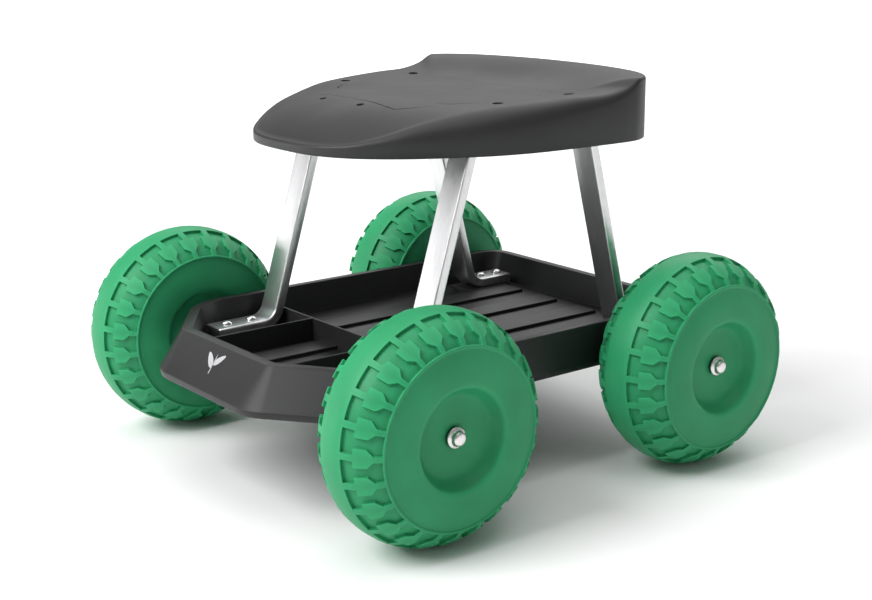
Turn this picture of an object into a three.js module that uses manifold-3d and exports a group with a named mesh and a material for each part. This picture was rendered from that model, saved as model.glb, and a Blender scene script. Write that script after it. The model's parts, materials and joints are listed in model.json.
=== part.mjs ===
// Four-wheeled rolling garden work seat: a moulded tractor-style seat on two bent steel leg frames,
// bolted into a tool tray that runs on two axles and four wide moulded wheels.
// Units are millimetres. +Z is up, the ground is z = 0, the seat's narrow front and the tray's
// nose face -Y, and the seated person's left is +X. The origin lies under the middle of the box.

import * as THREE from 'three';
import { mergeVertices } from 'three/addons/utils/BufferGeometryUtils.js';
import Module from 'manifold-3d';

const wasm = await Module();
wasm.setup();

// ---- Driving dimensions ------------------------------------------------------------------------

const WHEEL_RADIUS = 100;
const HALF_WHEELBASE = 153.7;
const HALF_TRACK = 201;
const AXLE_HEIGHT = WHEEL_RADIUS;
const AXLE_RADIUS = 4;
const GAP = 0.3; // clearance left between neighbouring pieces

const RIM_TOP = 136.4; // tray rim
const SKIRT_EDGE = 101; // where the tray's skirt stops flaring and turns in
const TRAY_BOTTOM = 95.5;
const FLOOR_TOP = 105.8;
const FLOOR_UNDER = AXLE_HEIGHT + AXLE_RADIUS + GAP;
const PAD_TOP = 109; // raised bands on the tray floor
const DIVIDER_TOP = 127;

const BAR_WIDTH = 27; // steel bar of the leg frames
const BAR_THICKNESS = 9.5;
const LEG_X = 116; // middle of the bar, left and right
const FOOT_UNDER = PAD_TOP + GAP;
const BAR_TOP = 330; // top face of the leg frame, under the seat

const SEAT_FLAT = 342.5; // flat middle of the seat
const SEAT_RIM_BOTTOM = 302;
const SEAT_WALL = 4;

const FRONT_FOOT_BOLTS_Y = [-157.5, -130];
const REAR_FOOT_BOLTS_Y = [160.5, 183.5];
const SEAT_BOLTS_Y = [-12.6, 71];
const BOLT_RADIUS = 2.9;
const BOLT_HOLE_RADIUS = 3.2;
const HOLE_SIDES = 12;

const SIDES = { left: 1, right: -1 };
const ENDS = { front: -1, rear: 1 };

// ---- Materials -----------------------------------------------------------------------------------

const standard = (color, roughness, metalness) =>
  new THREE.MeshStandardMaterial({ color, roughness, metalness });
const seatPlastic = standard(0x55565a, 0.55, 0);
const trayPlastic = standard(0x26272a, 0.6, 0);
const wheelPlastic = standard(0x2d8459, 0.5, 0);
const bushPlastic = standard(0x1c1d1f, 0.5, 0);
const brushedSteel = standard(0xc9ccce, 0.35, 1);
const zincSteel = standard(0xcbc8c6, 0.3, 1);
const blackSteel = standard(0x17181a, 0.45, 0.6);

// ---- Solids --------------------------------------------------------------------------------------

// A closed geometry as a manifold solid, turned right side out if its faces point in.
function toSolid(geometry) {
  const bare = geometry.clone();
  bare.deleteAttribute('normal');
  bare.deleteAttribute('uv');
  const merged = mergeVertices(bare, 1e-4);
  const vertProperties = new Float32Array(merged.attributes.position.array);
  const triVerts = new Uint32Array(merged.index.array);
  if (signedVolume(vertProperties, triVerts) < 0) {
    for (let t = 0; t < triVerts.length; t += 3) {
      [triVerts[t + 1], triVerts[t + 2]] = [triVerts[t + 2], triVerts[t + 1]];
    }
  }
  return new wasm.Manifold(new wasm.Mesh({ numProp: 3, vertProperties, triVerts }));
}

function signedVolume(positions, triangles) {
  const [a, b, c] = [new THREE.Vector3(), new THREE.Vector3(), new THREE.Vector3()];
  let volume = 0;
  for (let t = 0; t < triangles.length; t += 3) {
    a.fromArray(positions, 3 * triangles[t]);
    b.fromArray(positions, 3 * triangles[t + 1]);
    c.fromArray(positions, 3 * triangles[t + 2]);
    volume += a.dot(b.cross(c)) / 6;
  }
  return volume;
}

function toGeometry(solid) {
  const mesh = solid.getMesh();
  const geometry = new THREE.BufferGeometry();
  geometry.setAttribute('position', new THREE.BufferAttribute(new Float32Array(mesh.vertProperties), 3));
  geometry.setIndex(new THREE.BufferAttribute(new Uint32Array(mesh.triVerts), 1));
  geometry.computeVertexNormals();
  return geometry;
}

const joined = (solids) => solids.reduce((whole, solid) => whole.add(solid));
const cut = (solid, tools) => tools.reduce((rest, tool) => rest.subtract(tool), solid);

function block(x0, x1, y0, y1, z0, z1) {
  const box = new THREE.BoxGeometry(x1 - x0, y1 - y0, z1 - z0);
  box.translate((x0 + x1) / 2, (y0 + y1) / 2, (z0 + z1) / 2);
  return toSolid(box);
}

// A round rod along X or Z, from one end to the other.
function rod(axis, radius, from, to, [u, v], segments = 24) {
  const cylinder = new THREE.CylinderGeometry(radius, radius, to - from, segments);
  if (axis === 'x') {
    cylinder.rotateZ(Math.PI / 2).translate((from + to) / 2, u, v);
  } else {
    cylinder.rotateX(Math.PI / 2).translate(u, v, (from + to) / 2);
  }
  return toSolid(cylinder);
}

// A solid skinned over level rings that run anticlockwise from above, listed from the bottom up.
function loft(rings) {
  const count = rings[0].length;
  const positions = rings.flat().flatMap((point) => point.toArray());
  const triangles = [];
  for (let level = 0; level + 1 < rings.length; level++) {
    for (let i = 0; i < count; i++) {
      const a = level * count + i;
      const b = level * count + ((i + 1) % count);
      triangles.push(a, b, b + count, a, b + count, a + count);
    }
  }
  for (const [level, flip] of [[0, true], [rings.length - 1, false]]) {
    const middle = positions.length / 3;
    const centre = new THREE.Vector3();
    rings[level].forEach((point) => centre.addScaledVector(point, 1 / count));
    positions.push(...centre.toArray());
    for (let i = 0; i < count; i++) {
      const a = level * count + i;
      const b = level * count + ((i + 1) % count);
      triangles.push(middle, ...(flip ? [b, a] : [a, b]));
    }
  }
  const geometry = new THREE.BufferGeometry();
  geometry.setAttribute('position', new THREE.BufferAttribute(new Float32Array(positions), 3));
  geometry.setIndex(triangles);
  return toSolid(geometry);
}

// A closed outline [radius, height] turned about the X axis.
function turnedAboutX(profile, segments) {
  const points = [...profile, profile[0]].map(([r, h]) => new THREE.Vector2(r, h));
  // Half a step of turn puts a flat of the polygon, not a corner, straight down.
  const lathe = new THREE.LatheGeometry(points, segments, Math.PI / segments);
  return toSolid(lathe.rotateZ(-Math.PI / 2));
}

// ---- Tray ----------------------------------------------------------------------------------------

const NOSE_Y = 227.5; // rim of the nose
const NOSE_FLARE = 25.7; // how far the skirt stands out below the rim
const NOSE_HALF_WIDTH = 74;
const NOSE_WIDENING = 3;
const SHOULDER_Y = 173; // where the slanted facets meet the sides
const SHOULDER_FLARE = 20;
const SIDE_X = 151.5;
const SIDE_FLARE = 3;
const BACK_Y = 212.3;
const BACK_FLARE = 3;
const NOSE_CORNER = 20; // corner radii in plan, at the rim's outer edge
const NOSE_CORNER_FLARE = 28; // extra radius at the foot of the skirt
const SHOULDER_CORNER = 62;
const BACK_CORNER = 24;
const LEAST_CORNER = 3;

// A corner list [x, y, radius] as an outline, with each corner rounded by an arc.
function roundedOutline(corners, z, steps) {
  const points = [];
  corners.forEach(([x, y, radius], i) => {
    const corner = new THREE.Vector2(x, y);
    const [before, after] = [corners.at(i - 1), corners[(i + 1) % corners.length]]
      .map(([nx, ny]) => new THREE.Vector2(nx, ny).sub(corner).normalize());
    const halfAngle = Math.acos(before.dot(after)) / 2;
    const bisector = before.clone().add(after).normalize();
    const centre = corner.clone().addScaledVector(bisector, radius / Math.sin(halfAngle));
    const start = before.multiplyScalar(radius / Math.tan(halfAngle)).add(corner).sub(centre);
    const sweep = Math.PI - 2 * halfAngle;
    for (let s = 0; s <= steps; s++) {
      const spoke = start.clone().rotateAround(new THREE.Vector2(), (sweep * s) / steps);
      points.push(new THREE.Vector3(centre.x + spoke.x, centre.y + spoke.y, z));
    }
  });
  return points;
}

// The tray's plan at a flare of 0 (rim) to 1 (foot of the skirt), each edge moved in by its inset.
function trayPlan(z, flare, { front = 0, facet = 0, side = 0, back = 0 } = {}) {
  const nose = new THREE.Vector2(NOSE_HALF_WIDTH + flare * NOSE_WIDENING, -NOSE_Y - flare * NOSE_FLARE);
  const shoulder = new THREE.Vector2(SIDE_X + flare * SIDE_FLARE, -SHOULDER_Y - flare * SHOULDER_FLARE);
  const along = shoulder.clone().sub(nose).normalize();
  const onFacet = nose.clone().add(new THREE.Vector2(-along.y, along.x).multiplyScalar(facet));
  const noseY = nose.y + front;
  const sideX = shoulder.x - side;
  const backY = BACK_Y + flare * BACK_FLARE - back;
  const noseX = onFacet.x + ((noseY - onFacet.y) * along.x) / along.y;
  const shoulderY = onFacet.y + ((sideX - onFacet.x) * along.y) / along.x;
  // An edge moved in keeps its corners concentric with the outer ones.
  const tightened = (radius, ...insets) =>
    Math.max(LEAST_CORNER, radius - insets.reduce((sum, inset) => sum + inset) / insets.length);
  const half = [
    [noseX, noseY, tightened(NOSE_CORNER + flare * NOSE_CORNER_FLARE, front, facet)],
    [sideX, shoulderY, tightened(SHOULDER_CORNER, facet, side)],
    [sideX, backY, tightened(BACK_CORNER, side, back)],
  ];
  const mirrored = half.map(([x, y, radius]) => [-x, y, radius]).reverse();
  return roundedOutline([...half, ...mirrored], z, 5);
}

const everyEdge = (inset) => ({ front: inset, facet: inset, side: inset, back: inset });
const RIM_INSET = { front: 8.8, facet: 9.6, side: 7.8, back: 9 };
const CAVITY_FOOT = { front: 12, facet: 11, side: 9, back: 13.3 };
const EDGE_INSET = { front: 0.8, facet: 1.5, side: 1, back: 1 };
const SKIRT_WALL = { front: 4, facet: 4, side: 3, back: 3 };
const TRAY_WALL = { front: 7, facet: 7.5, side: -20, back: 0 }; // outer face of the wall round the cavity
const RIM_BEVEL = 1.2;
const RIM_THICKNESS = 4; // plastic above the hollow in the nose
const PAD_EDGES = [[-98.5, -71], [-43, -15.5], [15.5, 43], [71, 98.5]]; // raised bands, low and high x
const PAD_NOSE_GAP = 16;
const PAD_END_Y = 183;
const DIVIDER_X = 58;
const DIVIDER_Y = -96;
const DIVIDER_HALF = 1.2;
const FOOT_PAD = { x0: 100.5, x1: 131.5, front: [-179, -104], rear: [132, 191] };

// The outer skin, from its lower edge up to the rim.
function traySkin() {
  const bevelFlare = RIM_BEVEL / (RIM_TOP - SKIRT_EDGE);
  return loft([
    trayPlan(TRAY_BOTTOM, 1, EDGE_INSET),
    trayPlan(SKIRT_EDGE, 1),
    trayPlan(RIM_TOP - RIM_BEVEL, bevelFlare),
    trayPlan(RIM_TOP, 0, everyEdge(RIM_BEVEL)),
  ]);
}

// The nose is double-walled: a pocket open from below rises between its skin and the cavity's wall.
function noseHollow() {
  const top = RIM_TOP - RIM_THICKNESS;
  const topFlare = RIM_THICKNESS / (RIM_TOP - SKIRT_EDGE);
  const between = loft([trayPlan(FLOOR_UNDER - 1, 1, SKIRT_WALL), trayPlan(top, topFlare, SKIRT_WALL)]);
  const wall = loft([trayPlan(FLOOR_UNDER - 2, 0, TRAY_WALL), trayPlan(RIM_TOP, 0, TRAY_WALL)]);
  const noseOnly = block(-SIDE_X, SIDE_X, -2 * NOSE_Y, -SHOULDER_Y - 12, 0, RIM_TOP);
  return between.subtract(wall).intersect(noseOnly);
}

// Raised bands, pads under the leg frames' feet, and the low dividers of the front compartments.
function floorFeatures() {
  const below = FLOOR_TOP - 1;
  const bands = PAD_EDGES.map(([x0, x1]) =>
    block(x0, x1, -NOSE_Y + PAD_NOSE_GAP, PAD_END_Y, below, PAD_TOP));
  const footPads = Object.values(SIDES).flatMap((side) => {
    const [x0, x1] = [side * FOOT_PAD.x0, side * FOOT_PAD.x1].sort((a, b) => a - b);
    return [FOOT_PAD.front, FOOT_PAD.rear].map(([y0, y1]) => block(x0, x1, y0, y1, below, PAD_TOP));
  });
  const crossDivider =
    block(-SIDE_X, SIDE_X, DIVIDER_Y - DIVIDER_HALF, DIVIDER_Y + DIVIDER_HALF, below, DIVIDER_TOP);
  const dividers = Object.values(SIDES).map((side) => {
    const x = side * DIVIDER_X;
    return block(x - DIVIDER_HALF, x + DIVIDER_HALF, -NOSE_Y, DIVIDER_Y, below, DIVIDER_TOP);
  });
  const insideWalls = loft([
    trayPlan(FLOOR_TOP - 2, 0, CAVITY_FOOT), trayPlan(RIM_TOP, 0, everyEdge(6)),
  ]);
  return joined([...bands, ...footPads, crossDivider, ...dividers]).intersect(insideWalls);
}

function makeTray() {
  const cavity = loft([trayPlan(FLOOR_TOP, 0, CAVITY_FOOT), trayPlan(RIM_TOP + 1, 0, RIM_INSET)]);
  const underside = loft([trayPlan(TRAY_BOTTOM - 5, 1, SKIRT_WALL), trayPlan(FLOOR_UNDER, 1, SKIRT_WALL)]);
  const insertHoles = footBoltPlaces().map(([x, y]) =>
    rod('z', INSERT_RADIUS + GAP, TRAY_BOTTOM, PAD_TOP + 1, [x, y], 6));
  // The axles pass through holes in the sides of the skirt.
  const axleHoles = Object.values(ENDS).map((end) =>
    rod('x', AXLE_RADIUS + GAP, -HALF_TRACK, HALF_TRACK, [end * HALF_WHEELBASE, AXLE_HEIGHT], HUB_SEGMENTS));
  const shell = cut(traySkin(), [cavity, underside, noseHollow()]);
  return cut(shell.add(floorFeatures()), [...axleHoles, ...insertHoles]);
}

// ---- Axle blocks ---------------------------------------------------------------------------------

const AXLE_BLOCK = {
  halfLength: 15,
  bottom: 88,
  places: { left: [118, 150], middle: [-15, 15], right: [-150, -118] },
};

// A block under the tray floor with a slot, open at the top, that the axle lies in.
function makeAxleBlock([x0, x1], end) {
  const y = end * HALF_WHEELBASE;
  const slotHalf = AXLE_RADIUS + GAP;
  const top = FLOOR_UNDER - GAP;
  const body = block(x0, x1, y - AXLE_BLOCK.halfLength, y + AXLE_BLOCK.halfLength, AXLE_BLOCK.bottom, top);
  const round = rod('x', slotHalf, x0 - 1, x1 + 1, [y, AXLE_HEIGHT], HUB_SEGMENTS);
  return cut(body, [round, block(x0 - 1, x1 + 1, y - slotHalf, y + slotHalf, AXLE_HEIGHT, top + 1)]);
}

// ---- Leg frames ----------------------------------------------------------------------------------

const FRONT_LEG = { slope: 0.3086, yAtFoot: -109.2 };
const REAR_LEG = { slope: -0.261, yAtFoot: 140.2 };
const FOOT_TIP_FRONT = -172.5;
const FOOT_TIP_REAR = 193;
const FOOT_BEND = 19; // bend radii of the bar's middle line
const TOP_BEND = 9;
const BEND_STEPS = 5;
const BAR_BEVEL = 1.4;

// The side view of one bent bar in the YZ plane: its upper edge from front to rear, then its lower
// edge back. The middle line runs through six corners, and the four bends are arcs.
function barOutline() {
  const footMiddle = FOOT_UNDER + BAR_THICKNESS / 2;
  const topMiddle = BAR_TOP - BAR_THICKNESS / 2;
  const rise = topMiddle - footMiddle;
  const corners = [
    [FOOT_TIP_FRONT, footMiddle],
    [FRONT_LEG.yAtFoot, footMiddle],
    [FRONT_LEG.yAtFoot + FRONT_LEG.slope * rise, topMiddle],
    [REAR_LEG.yAtFoot + REAR_LEG.slope * rise, topMiddle],
    [REAR_LEG.yAtFoot, footMiddle],
    [FOOT_TIP_REAR, footMiddle],
  ].map(([y, z]) => new THREE.Vector2(y, z));
  const radii = [0, FOOT_BEND, TOP_BEND, TOP_BEND, FOOT_BEND, 0];
  const upper = [];
  const lower = [];
  const addStation = (point, direction) => {
    const normal = new THREE.Vector2(-direction.y, direction.x).multiplyScalar(BAR_THICKNESS / 2);
    upper.push(point.clone().add(normal));
    lower.push(point.clone().sub(normal));
  };
  const first = corners[1].clone().sub(corners[0]).normalize();
  addStation(corners[0], first);
  for (let i = 1; i + 1 < corners.length; i++) {
    const arriving = corners[i].clone().sub(corners[i - 1]).normalize();
    const leaving = corners[i + 1].clone().sub(corners[i]).normalize();
    const turn = Math.atan2(arriving.cross(leaving), arriving.dot(leaving));
    const reach = radii[i] * Math.tan(Math.abs(turn) / 2);
    const start = corners[i].clone().addScaledVector(arriving, -reach);
    const normal = new THREE.Vector2(-arriving.y, arriving.x).multiplyScalar(Math.sign(turn) * radii[i]);
    const centre = start.clone().add(normal);
    for (let s = 0; s <= BEND_STEPS; s++) {
      const angle = (turn * s) / BEND_STEPS;
      const direction = arriving.clone().rotateAround(new THREE.Vector2(), angle);
      addStation(start.clone().rotateAround(centre, angle), direction);
    }
  }
  addStation(corners.at(-1), first);
  return [...upper, ...lower.reverse()];
}

function makeLegFrame(side) {
  const bar = new THREE.ExtrudeGeometry(new THREE.Shape(barOutline()), {
    depth: BAR_WIDTH - 2 * BAR_BEVEL,
    bevelEnabled: true,
    bevelThickness: BAR_BEVEL,
    bevelSize: BAR_BEVEL,
    bevelOffset: -BAR_BEVEL,
    bevelSegments: 1,
  });
  // The outline's x and y are the part's Y and Z, and the bar's width runs along X.
  bar.applyMatrix4(new THREE.Matrix4().makeBasis(
    new THREE.Vector3(0, 1, 0), new THREE.Vector3(0, 0, 1), new THREE.Vector3(1, 0, 0)));
  bar.translate(side * LEG_X - BAR_WIDTH / 2 + BAR_BEVEL, 0, 0);
  const holesThrough = (under, places) => places.map((y) =>
    rod('z', BOLT_HOLE_RADIUS, under - 2, under + BAR_THICKNESS + 2, [side * LEG_X, y], HOLE_SIDES));
  const footHoles = holesThrough(FOOT_UNDER, [...FRONT_FOOT_BOLTS_Y, ...REAR_FOOT_BOLTS_Y]);
  const seatHoles = holesThrough(BAR_TOP - BAR_THICKNESS, SEAT_BOLTS_Y);
  return cut(toSolid(bar), [...footHoles, ...seatHoles]);
}

// ---- Seat ----------------------------------------------------------------------------------------

// Half of the seat's outline from the front tip round to the middle of the back: x, y, height of the
// top's edge, and radius of the roll from there into the side wall. The edge is low at the front and
// rises to a lip at the back.
const SEAT_OUTLINE = [
  [0, -161.5, 311, 3], [44, -158, 311.5, 3], [74, -145, 313.5, 3.5], [96, -125.5, 320.5, 8],
  [114, -102, 329.3, 14], [130.5, -71, 336.5, 19], [144.5, -38, 341, 20], [153, 0, 343.3, 18],
  [156.5, 50, 345.5, 14], [157.5, 90, 346.5, 8], [157, 110, 351, 5], [154.5, 124, 358.3, 3.5],
  [145, 140, 358.5, 3], [119, 159.5, 358.5, 3], [60, 176.5, 358.5, 3], [0, 181, 358.5, 3],
];
const SEAT_TOP = 358.5; // lip at the back
const SEAT_CENTRE = new THREE.Vector2(0, 12);
const SEAT_POINTS = 60; // two for each span of the outline
const SEAT_SHARES = [1, 0.94, 0.87, 0.78, 0.66, 0.5];
const ROLL_ANGLES = [Math.PI / 2, Math.PI / 4];
const SEAT_RAIL = { x0: 100, x1: 132, y0: -34, y1: 92 };
const SEAT_RIBS_Y = [-20, 80];
const SEAT_RIB_HALF = 1.5;
const DRAIN_HOLES = { x: 29, y: -97, radius: 3.5 };

// Points round the outline moved in by an inset, each with the top's edge height, roll radius, and
// how far it belongs to the front, from 0 to 1.
function seatStations(inset) {
  const mirrored = SEAT_OUTLINE.slice(1, -1).reverse().map(([x, ...rest]) => [-x, ...rest]);
  const whole = [...SEAT_OUTLINE, ...mirrored];
  const curveOf = (toPoint) => new THREE.CatmullRomCurve3(whole.map(toPoint), true, 'centripetal');
  const edges = curveOf(([x, y, z]) => new THREE.Vector3(x, y, z));
  const rolls = curveOf(([x, y, , roll]) => new THREE.Vector3(x, y, roll));
  return Array.from({ length: SEAT_POINTS }, (_, i) => {
    const edge = edges.getPoint(i / SEAT_POINTS);
    const spoke = new THREE.Vector2(edge.x, edge.y).sub(SEAT_CENTRE);
    spoke.setLength(spoke.length() - inset);
    const frontness = THREE.MathUtils.smoothstep(-edge.y, -60, 90);
    return { spoke, edge: Math.min(edge.z, SEAT_TOP), roll: rolls.getPoint(i / SEAT_POINTS).z, frontness };
  });
}

// Share of the way from the flat middle's height to the edge's, at a share s of the way outwards.
function seatRise(s, frontness) {
  const start = 0.5 + 0.1 * (1 - frontness);
  const t = Math.max(0, (s - start) / (1 - start));
  return frontness * t ** 2 + (1 - frontness) * t * t * (3 - 2 * t);
}

// The seat as a solid, moved in by an inset and down by a drop, with a flat bottom.
function seatBody(inset, drop, bottom) {
  const stations = seatStations(inset);
  const ring = (reachOf, heightOf) => stations.map((station) => {
    const place = SEAT_CENTRE.clone().addScaledVector(station.spoke, reachOf(station));
    return new THREE.Vector3(place.x, place.y, heightOf(station));
  });
  const rollRing = (angle) => ring(
    ({ spoke, roll }) => 1 - (roll * (1 - Math.sin(angle))) / spoke.length(),
    ({ edge, roll }) => edge - roll * (1 - Math.cos(angle)) - drop);
  const topRing = (share) => ring(
    ({ spoke, roll }) => share * (1 - roll / spoke.length()),
    ({ edge, frontness }) => SEAT_FLAT + (edge - SEAT_FLAT) * seatRise(share, frontness) - drop);
  return loft([ring(() => 1, () => bottom), ...ROLL_ANGLES.map(rollRing), ...SEAT_SHARES.map(topRing)]);
}

function makeSeat() {
  const hollow = seatBody(SEAT_WALL, SEAT_WALL, SEAT_RIM_BOTTOM - 5);
  const shell = seatBody(0, 0, SEAT_RIM_BOTTOM).subtract(hollow);
  const railBottom = BAR_TOP + GAP;
  const aboveTop = SEAT_FLAT + 20;
  const rails = Object.values(SIDES).map((side) => {
    const [x0, x1] = [side * SEAT_RAIL.x0, side * SEAT_RAIL.x1].sort((a, b) => a - b);
    return block(x0, x1, SEAT_RAIL.y0, SEAT_RAIL.y1, railBottom, aboveTop);
  });
  const ribs = SEAT_RIBS_Y.map((y) =>
    block(-150, 150, y - SEAT_RIB_HALF, y + SEAT_RIB_HALF, railBottom, aboveTop));
  const underParts = joined([...rails, ...ribs]).intersect(seatBody(2, 2, SEAT_RIM_BOTTOM));
  const boltHoles = seatBoltPlaces().flatMap(([x, y]) => [
    rod('z', BOLT_HOLE_RADIUS, railBottom - 1, aboveTop, [x, y], HOLE_SIDES),
    rod('z', SEAT_SCREW.headRadius + GAP, SEAT_SCREW.seatZ, aboveTop, [x, y], HOLE_SIDES),
  ]);
  const drains = Object.values(SIDES).map((side) => {
    const { x, y, radius } = DRAIN_HOLES;
    return rod('z', radius, SEAT_RIM_BOTTOM, aboveTop, [side * x, y], HOLE_SIDES);
  });
  return cut(shell.add(underParts), [...boltHoles, ...drains]);
}

// ---- Fasteners -----------------------------------------------------------------------------------

const INSERT_RADIUS = 5.2;
const SEAT_SCREW = { headRadius: 4.7, seatZ: 337.6, headHeight: 2.6 };
const NUT = { cornerRadius: 5.2, height: 4.6 };

const footBoltPlaces = () => Object.values(SIDES).flatMap((side) =>
  [...FRONT_FOOT_BOLTS_Y, ...REAR_FOOT_BOLTS_Y].map((y) => [side * LEG_X, y]));
const seatBoltPlaces = () => Object.values(SIDES).flatMap((side) =>
  SEAT_BOLTS_Y.map((y) => [side * LEG_X, y]));

// A turned piece standing on +Z: profile of [radius, height] from the axis back to the axis.
function turned(profile, x, y, z, segments = 12) {
  const points = profile.map(([r, h]) => new THREE.Vector2(r, h));
  const lathe = new THREE.LatheGeometry(points, segments);
  return toSolid(lathe.rotateX(Math.PI / 2).translate(x, y, z));
}

function makeFootBolt(x, y) {
  const under = FOOT_UNDER + BAR_THICKNESS + GAP;
  const shank = under - (FLOOR_UNDER + 2 * GAP);
  const head = [[0, -shank], [BOLT_RADIUS, -shank], [BOLT_RADIUS, 0], [5, 0], [4.2, 2.2], [0, 3.3]];
  return turned(head, x, y, under);
}

function makeFootInsert(x, y) {
  const body = rod('z', INSERT_RADIUS, FLOOR_UNDER + GAP, PAD_TOP, [x, y], 6);
  return body.subtract(rod('z', BOLT_HOLE_RADIUS, FLOOR_UNDER - 1, PAD_TOP + 1, [x, y], HOLE_SIDES));
}

function makeSeatScrew(x, y) {
  const under = SEAT_SCREW.seatZ + GAP;
  const shank = under - (BAR_TOP - BAR_THICKNESS - NUT.height - 1.5);
  const { headRadius, headHeight } = SEAT_SCREW;
  return turned([[0, -shank], [BOLT_RADIUS, -shank], [BOLT_RADIUS, 0], [headRadius, 0],
    [headRadius, headHeight - 0.8], [headRadius - 0.8, headHeight], [0, headHeight]], x, y, under);
}

function makeSeatNut(x, y) {
  const top = BAR_TOP - BAR_THICKNESS - GAP;
  const nut = rod('z', NUT.cornerRadius, top - NUT.height, top, [x, y], 6);
  return nut.subtract(rod('z', BOLT_HOLE_RADIUS, top - NUT.height - 1, top + 1, [x, y], HOLE_SIDES));
}

// ---- Wheels and axles ----------------------------------------------------------------------------

const HUB_HALF_LENGTH = 30; // the hub's flat disc stands this far from the wheel's middle plane
const HUB_RADIUS = 13;
const BORE_RADIUS = 6.6;
const BUSH = {
  outer: BORE_RADIUS - GAP, inner: AXLE_RADIUS + GAP, length: 24, flange: 10.5, flangeThickness: 1.6,
};
const AXLE_END = HALF_TRACK + HUB_HALF_LENGTH + 4.5;
const CAP = { collar: 9, collarHeight: 1.8, dome: 6, domeHeight: 5.2 };
const SIDEWALL = [[33.5, HUB_HALF_LENGTH], [41, 42], [58, 43.6], [76, 41.2], [82.4, 38.2]];
const TREAD = [[91.5, 28], [97, 18], [WHEEL_RADIUS, 8]];
const WHEEL_SEGMENTS = 32;
const HOLLOW_SEGMENTS = 24;
const HUB_SEGMENTS = 16;
const WALL = 3.6; // thickness of the moulded wheel's wall
const TREAD_BLOCKS = 2; // extra thickness behind the tread
const VENT = { radius: 3, fromCentre: 24 };
const SPACER_RADIUS = 8;

function makeWheel(side, end) {
  // A flat of the many-sided rim, rather than a corner, reaches the full radius.
  const toFlats = 1 / Math.cos(Math.PI / WHEEL_SEGMENTS);
  const outerHalf = [[BORE_RADIUS, HUB_HALF_LENGTH], ...SIDEWALL, ...TREAD]
    .map(([r, h]) => [r * toFlats, h]);
  const bothHalves = (half) => [...half, ...half.map(([r, h]) => [r, -h]).reverse()];
  const outer = turnedAboutX(bothHalves(outerHalf), WHEEL_SEGMENTS);
  const innerHalf = [
    [HUB_RADIUS, HUB_HALF_LENGTH - WALL], [35.5, HUB_HALF_LENGTH - WALL], [43, 42 - WALL],
    [76, 41.2 - WALL - 1], [WHEEL_RADIUS - WALL - TREAD_BLOCKS, 8],
  ];
  const inner = turnedAboutX(bothHalves(innerHalf), HOLLOW_SEGMENTS);
  // The moulding's vent opens through the inward-facing disc.
  const vent = rod('x', VENT.radius, -HUB_HALF_LENGTH - 5, -HUB_HALF_LENGTH + WALL + 5,
    [VENT.fromCentre, 0], HOLE_SIDES);
  const wheel = cut(outer, [inner, side > 0 ? vent : vent.mirror([1, 0, 0])]);
  return wheel.translate([side * HALF_TRACK, end * HALF_WHEELBASE, AXLE_HEIGHT]);
}

// A flanged sleeve pressed into one end of a wheel's bore; outward is the side its flange is on.
function makeBush(side, end, outward) {
  const flangeX = HUB_HALF_LENGTH + GAP;
  const profile = [
    [BUSH.inner, flangeX + BUSH.flangeThickness], [BUSH.inner, flangeX - BUSH.length],
    [BUSH.outer, flangeX - BUSH.length], [BUSH.outer, flangeX], [BUSH.flange, flangeX],
    [BUSH.flange, flangeX + BUSH.flangeThickness],
  ].map(([r, h]) => [r, outward * h]);
  return turnedAboutX(profile, HUB_SEGMENTS)
    .translate([side * HALF_TRACK, end * HALF_WHEELBASE, AXLE_HEIGHT]);
}

function makeSpacer(side, end) {
  const from = SIDE_X + SIDE_FLARE + 2 * GAP;
  const to = HALF_TRACK - HUB_HALF_LENGTH - 2 * GAP - BUSH.flangeThickness;
  const ring = [
    [AXLE_RADIUS + GAP, from], [SPACER_RADIUS, from], [SPACER_RADIUS, to], [AXLE_RADIUS + GAP, to],
  ];
  return turnedAboutX(ring.map(([r, h]) => [r, side * h]), HUB_SEGMENTS)
    .translate([0, end * HALF_WHEELBASE, AXLE_HEIGHT]);
}

function makeAxle(end) {
  return rod('x', AXLE_RADIUS, -AXLE_END, AXLE_END, [end * HALF_WHEELBASE, AXLE_HEIGHT], HUB_SEGMENTS);
}

// A pushed-on cap: a collar against the bush, and a dome closed over the axle's end.
function makeHubCap(side, end) {
  const start = HALF_TRACK + HUB_HALF_LENGTH + 2 * GAP + BUSH.flangeThickness;
  const rimEnd = start + CAP.collarHeight;
  const tip = rimEnd + CAP.domeHeight;
  const bore = AXLE_RADIUS + GAP;
  const profile = [
    [bore, start], [CAP.collar, start], [CAP.collar, rimEnd - 0.5], [CAP.collar - 0.6, rimEnd],
    [CAP.dome, rimEnd], [CAP.dome, tip - 1], [CAP.dome - 1, tip], [0, tip], [0, AXLE_END + GAP],
    [bore, AXLE_END + GAP],
  ];
  return turnedAboutX(profile.map(([r, h]) => [r, side * h]), HUB_SEGMENTS)
    .translate([0, end * HALF_WHEELBASE, AXLE_HEIGHT]);
}

// ---- Assembly ------------------------------------------------------------------------------------

const gardenSeat = new THREE.Group();

function place(name, solid, material) {
  const mesh = new THREE.Mesh(toGeometry(solid), material);
  mesh.name = name;
  gardenSeat.add(mesh);
}

place('seat', makeSeat(), seatPlastic);
place('tray', makeTray(), trayPlastic);

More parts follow.
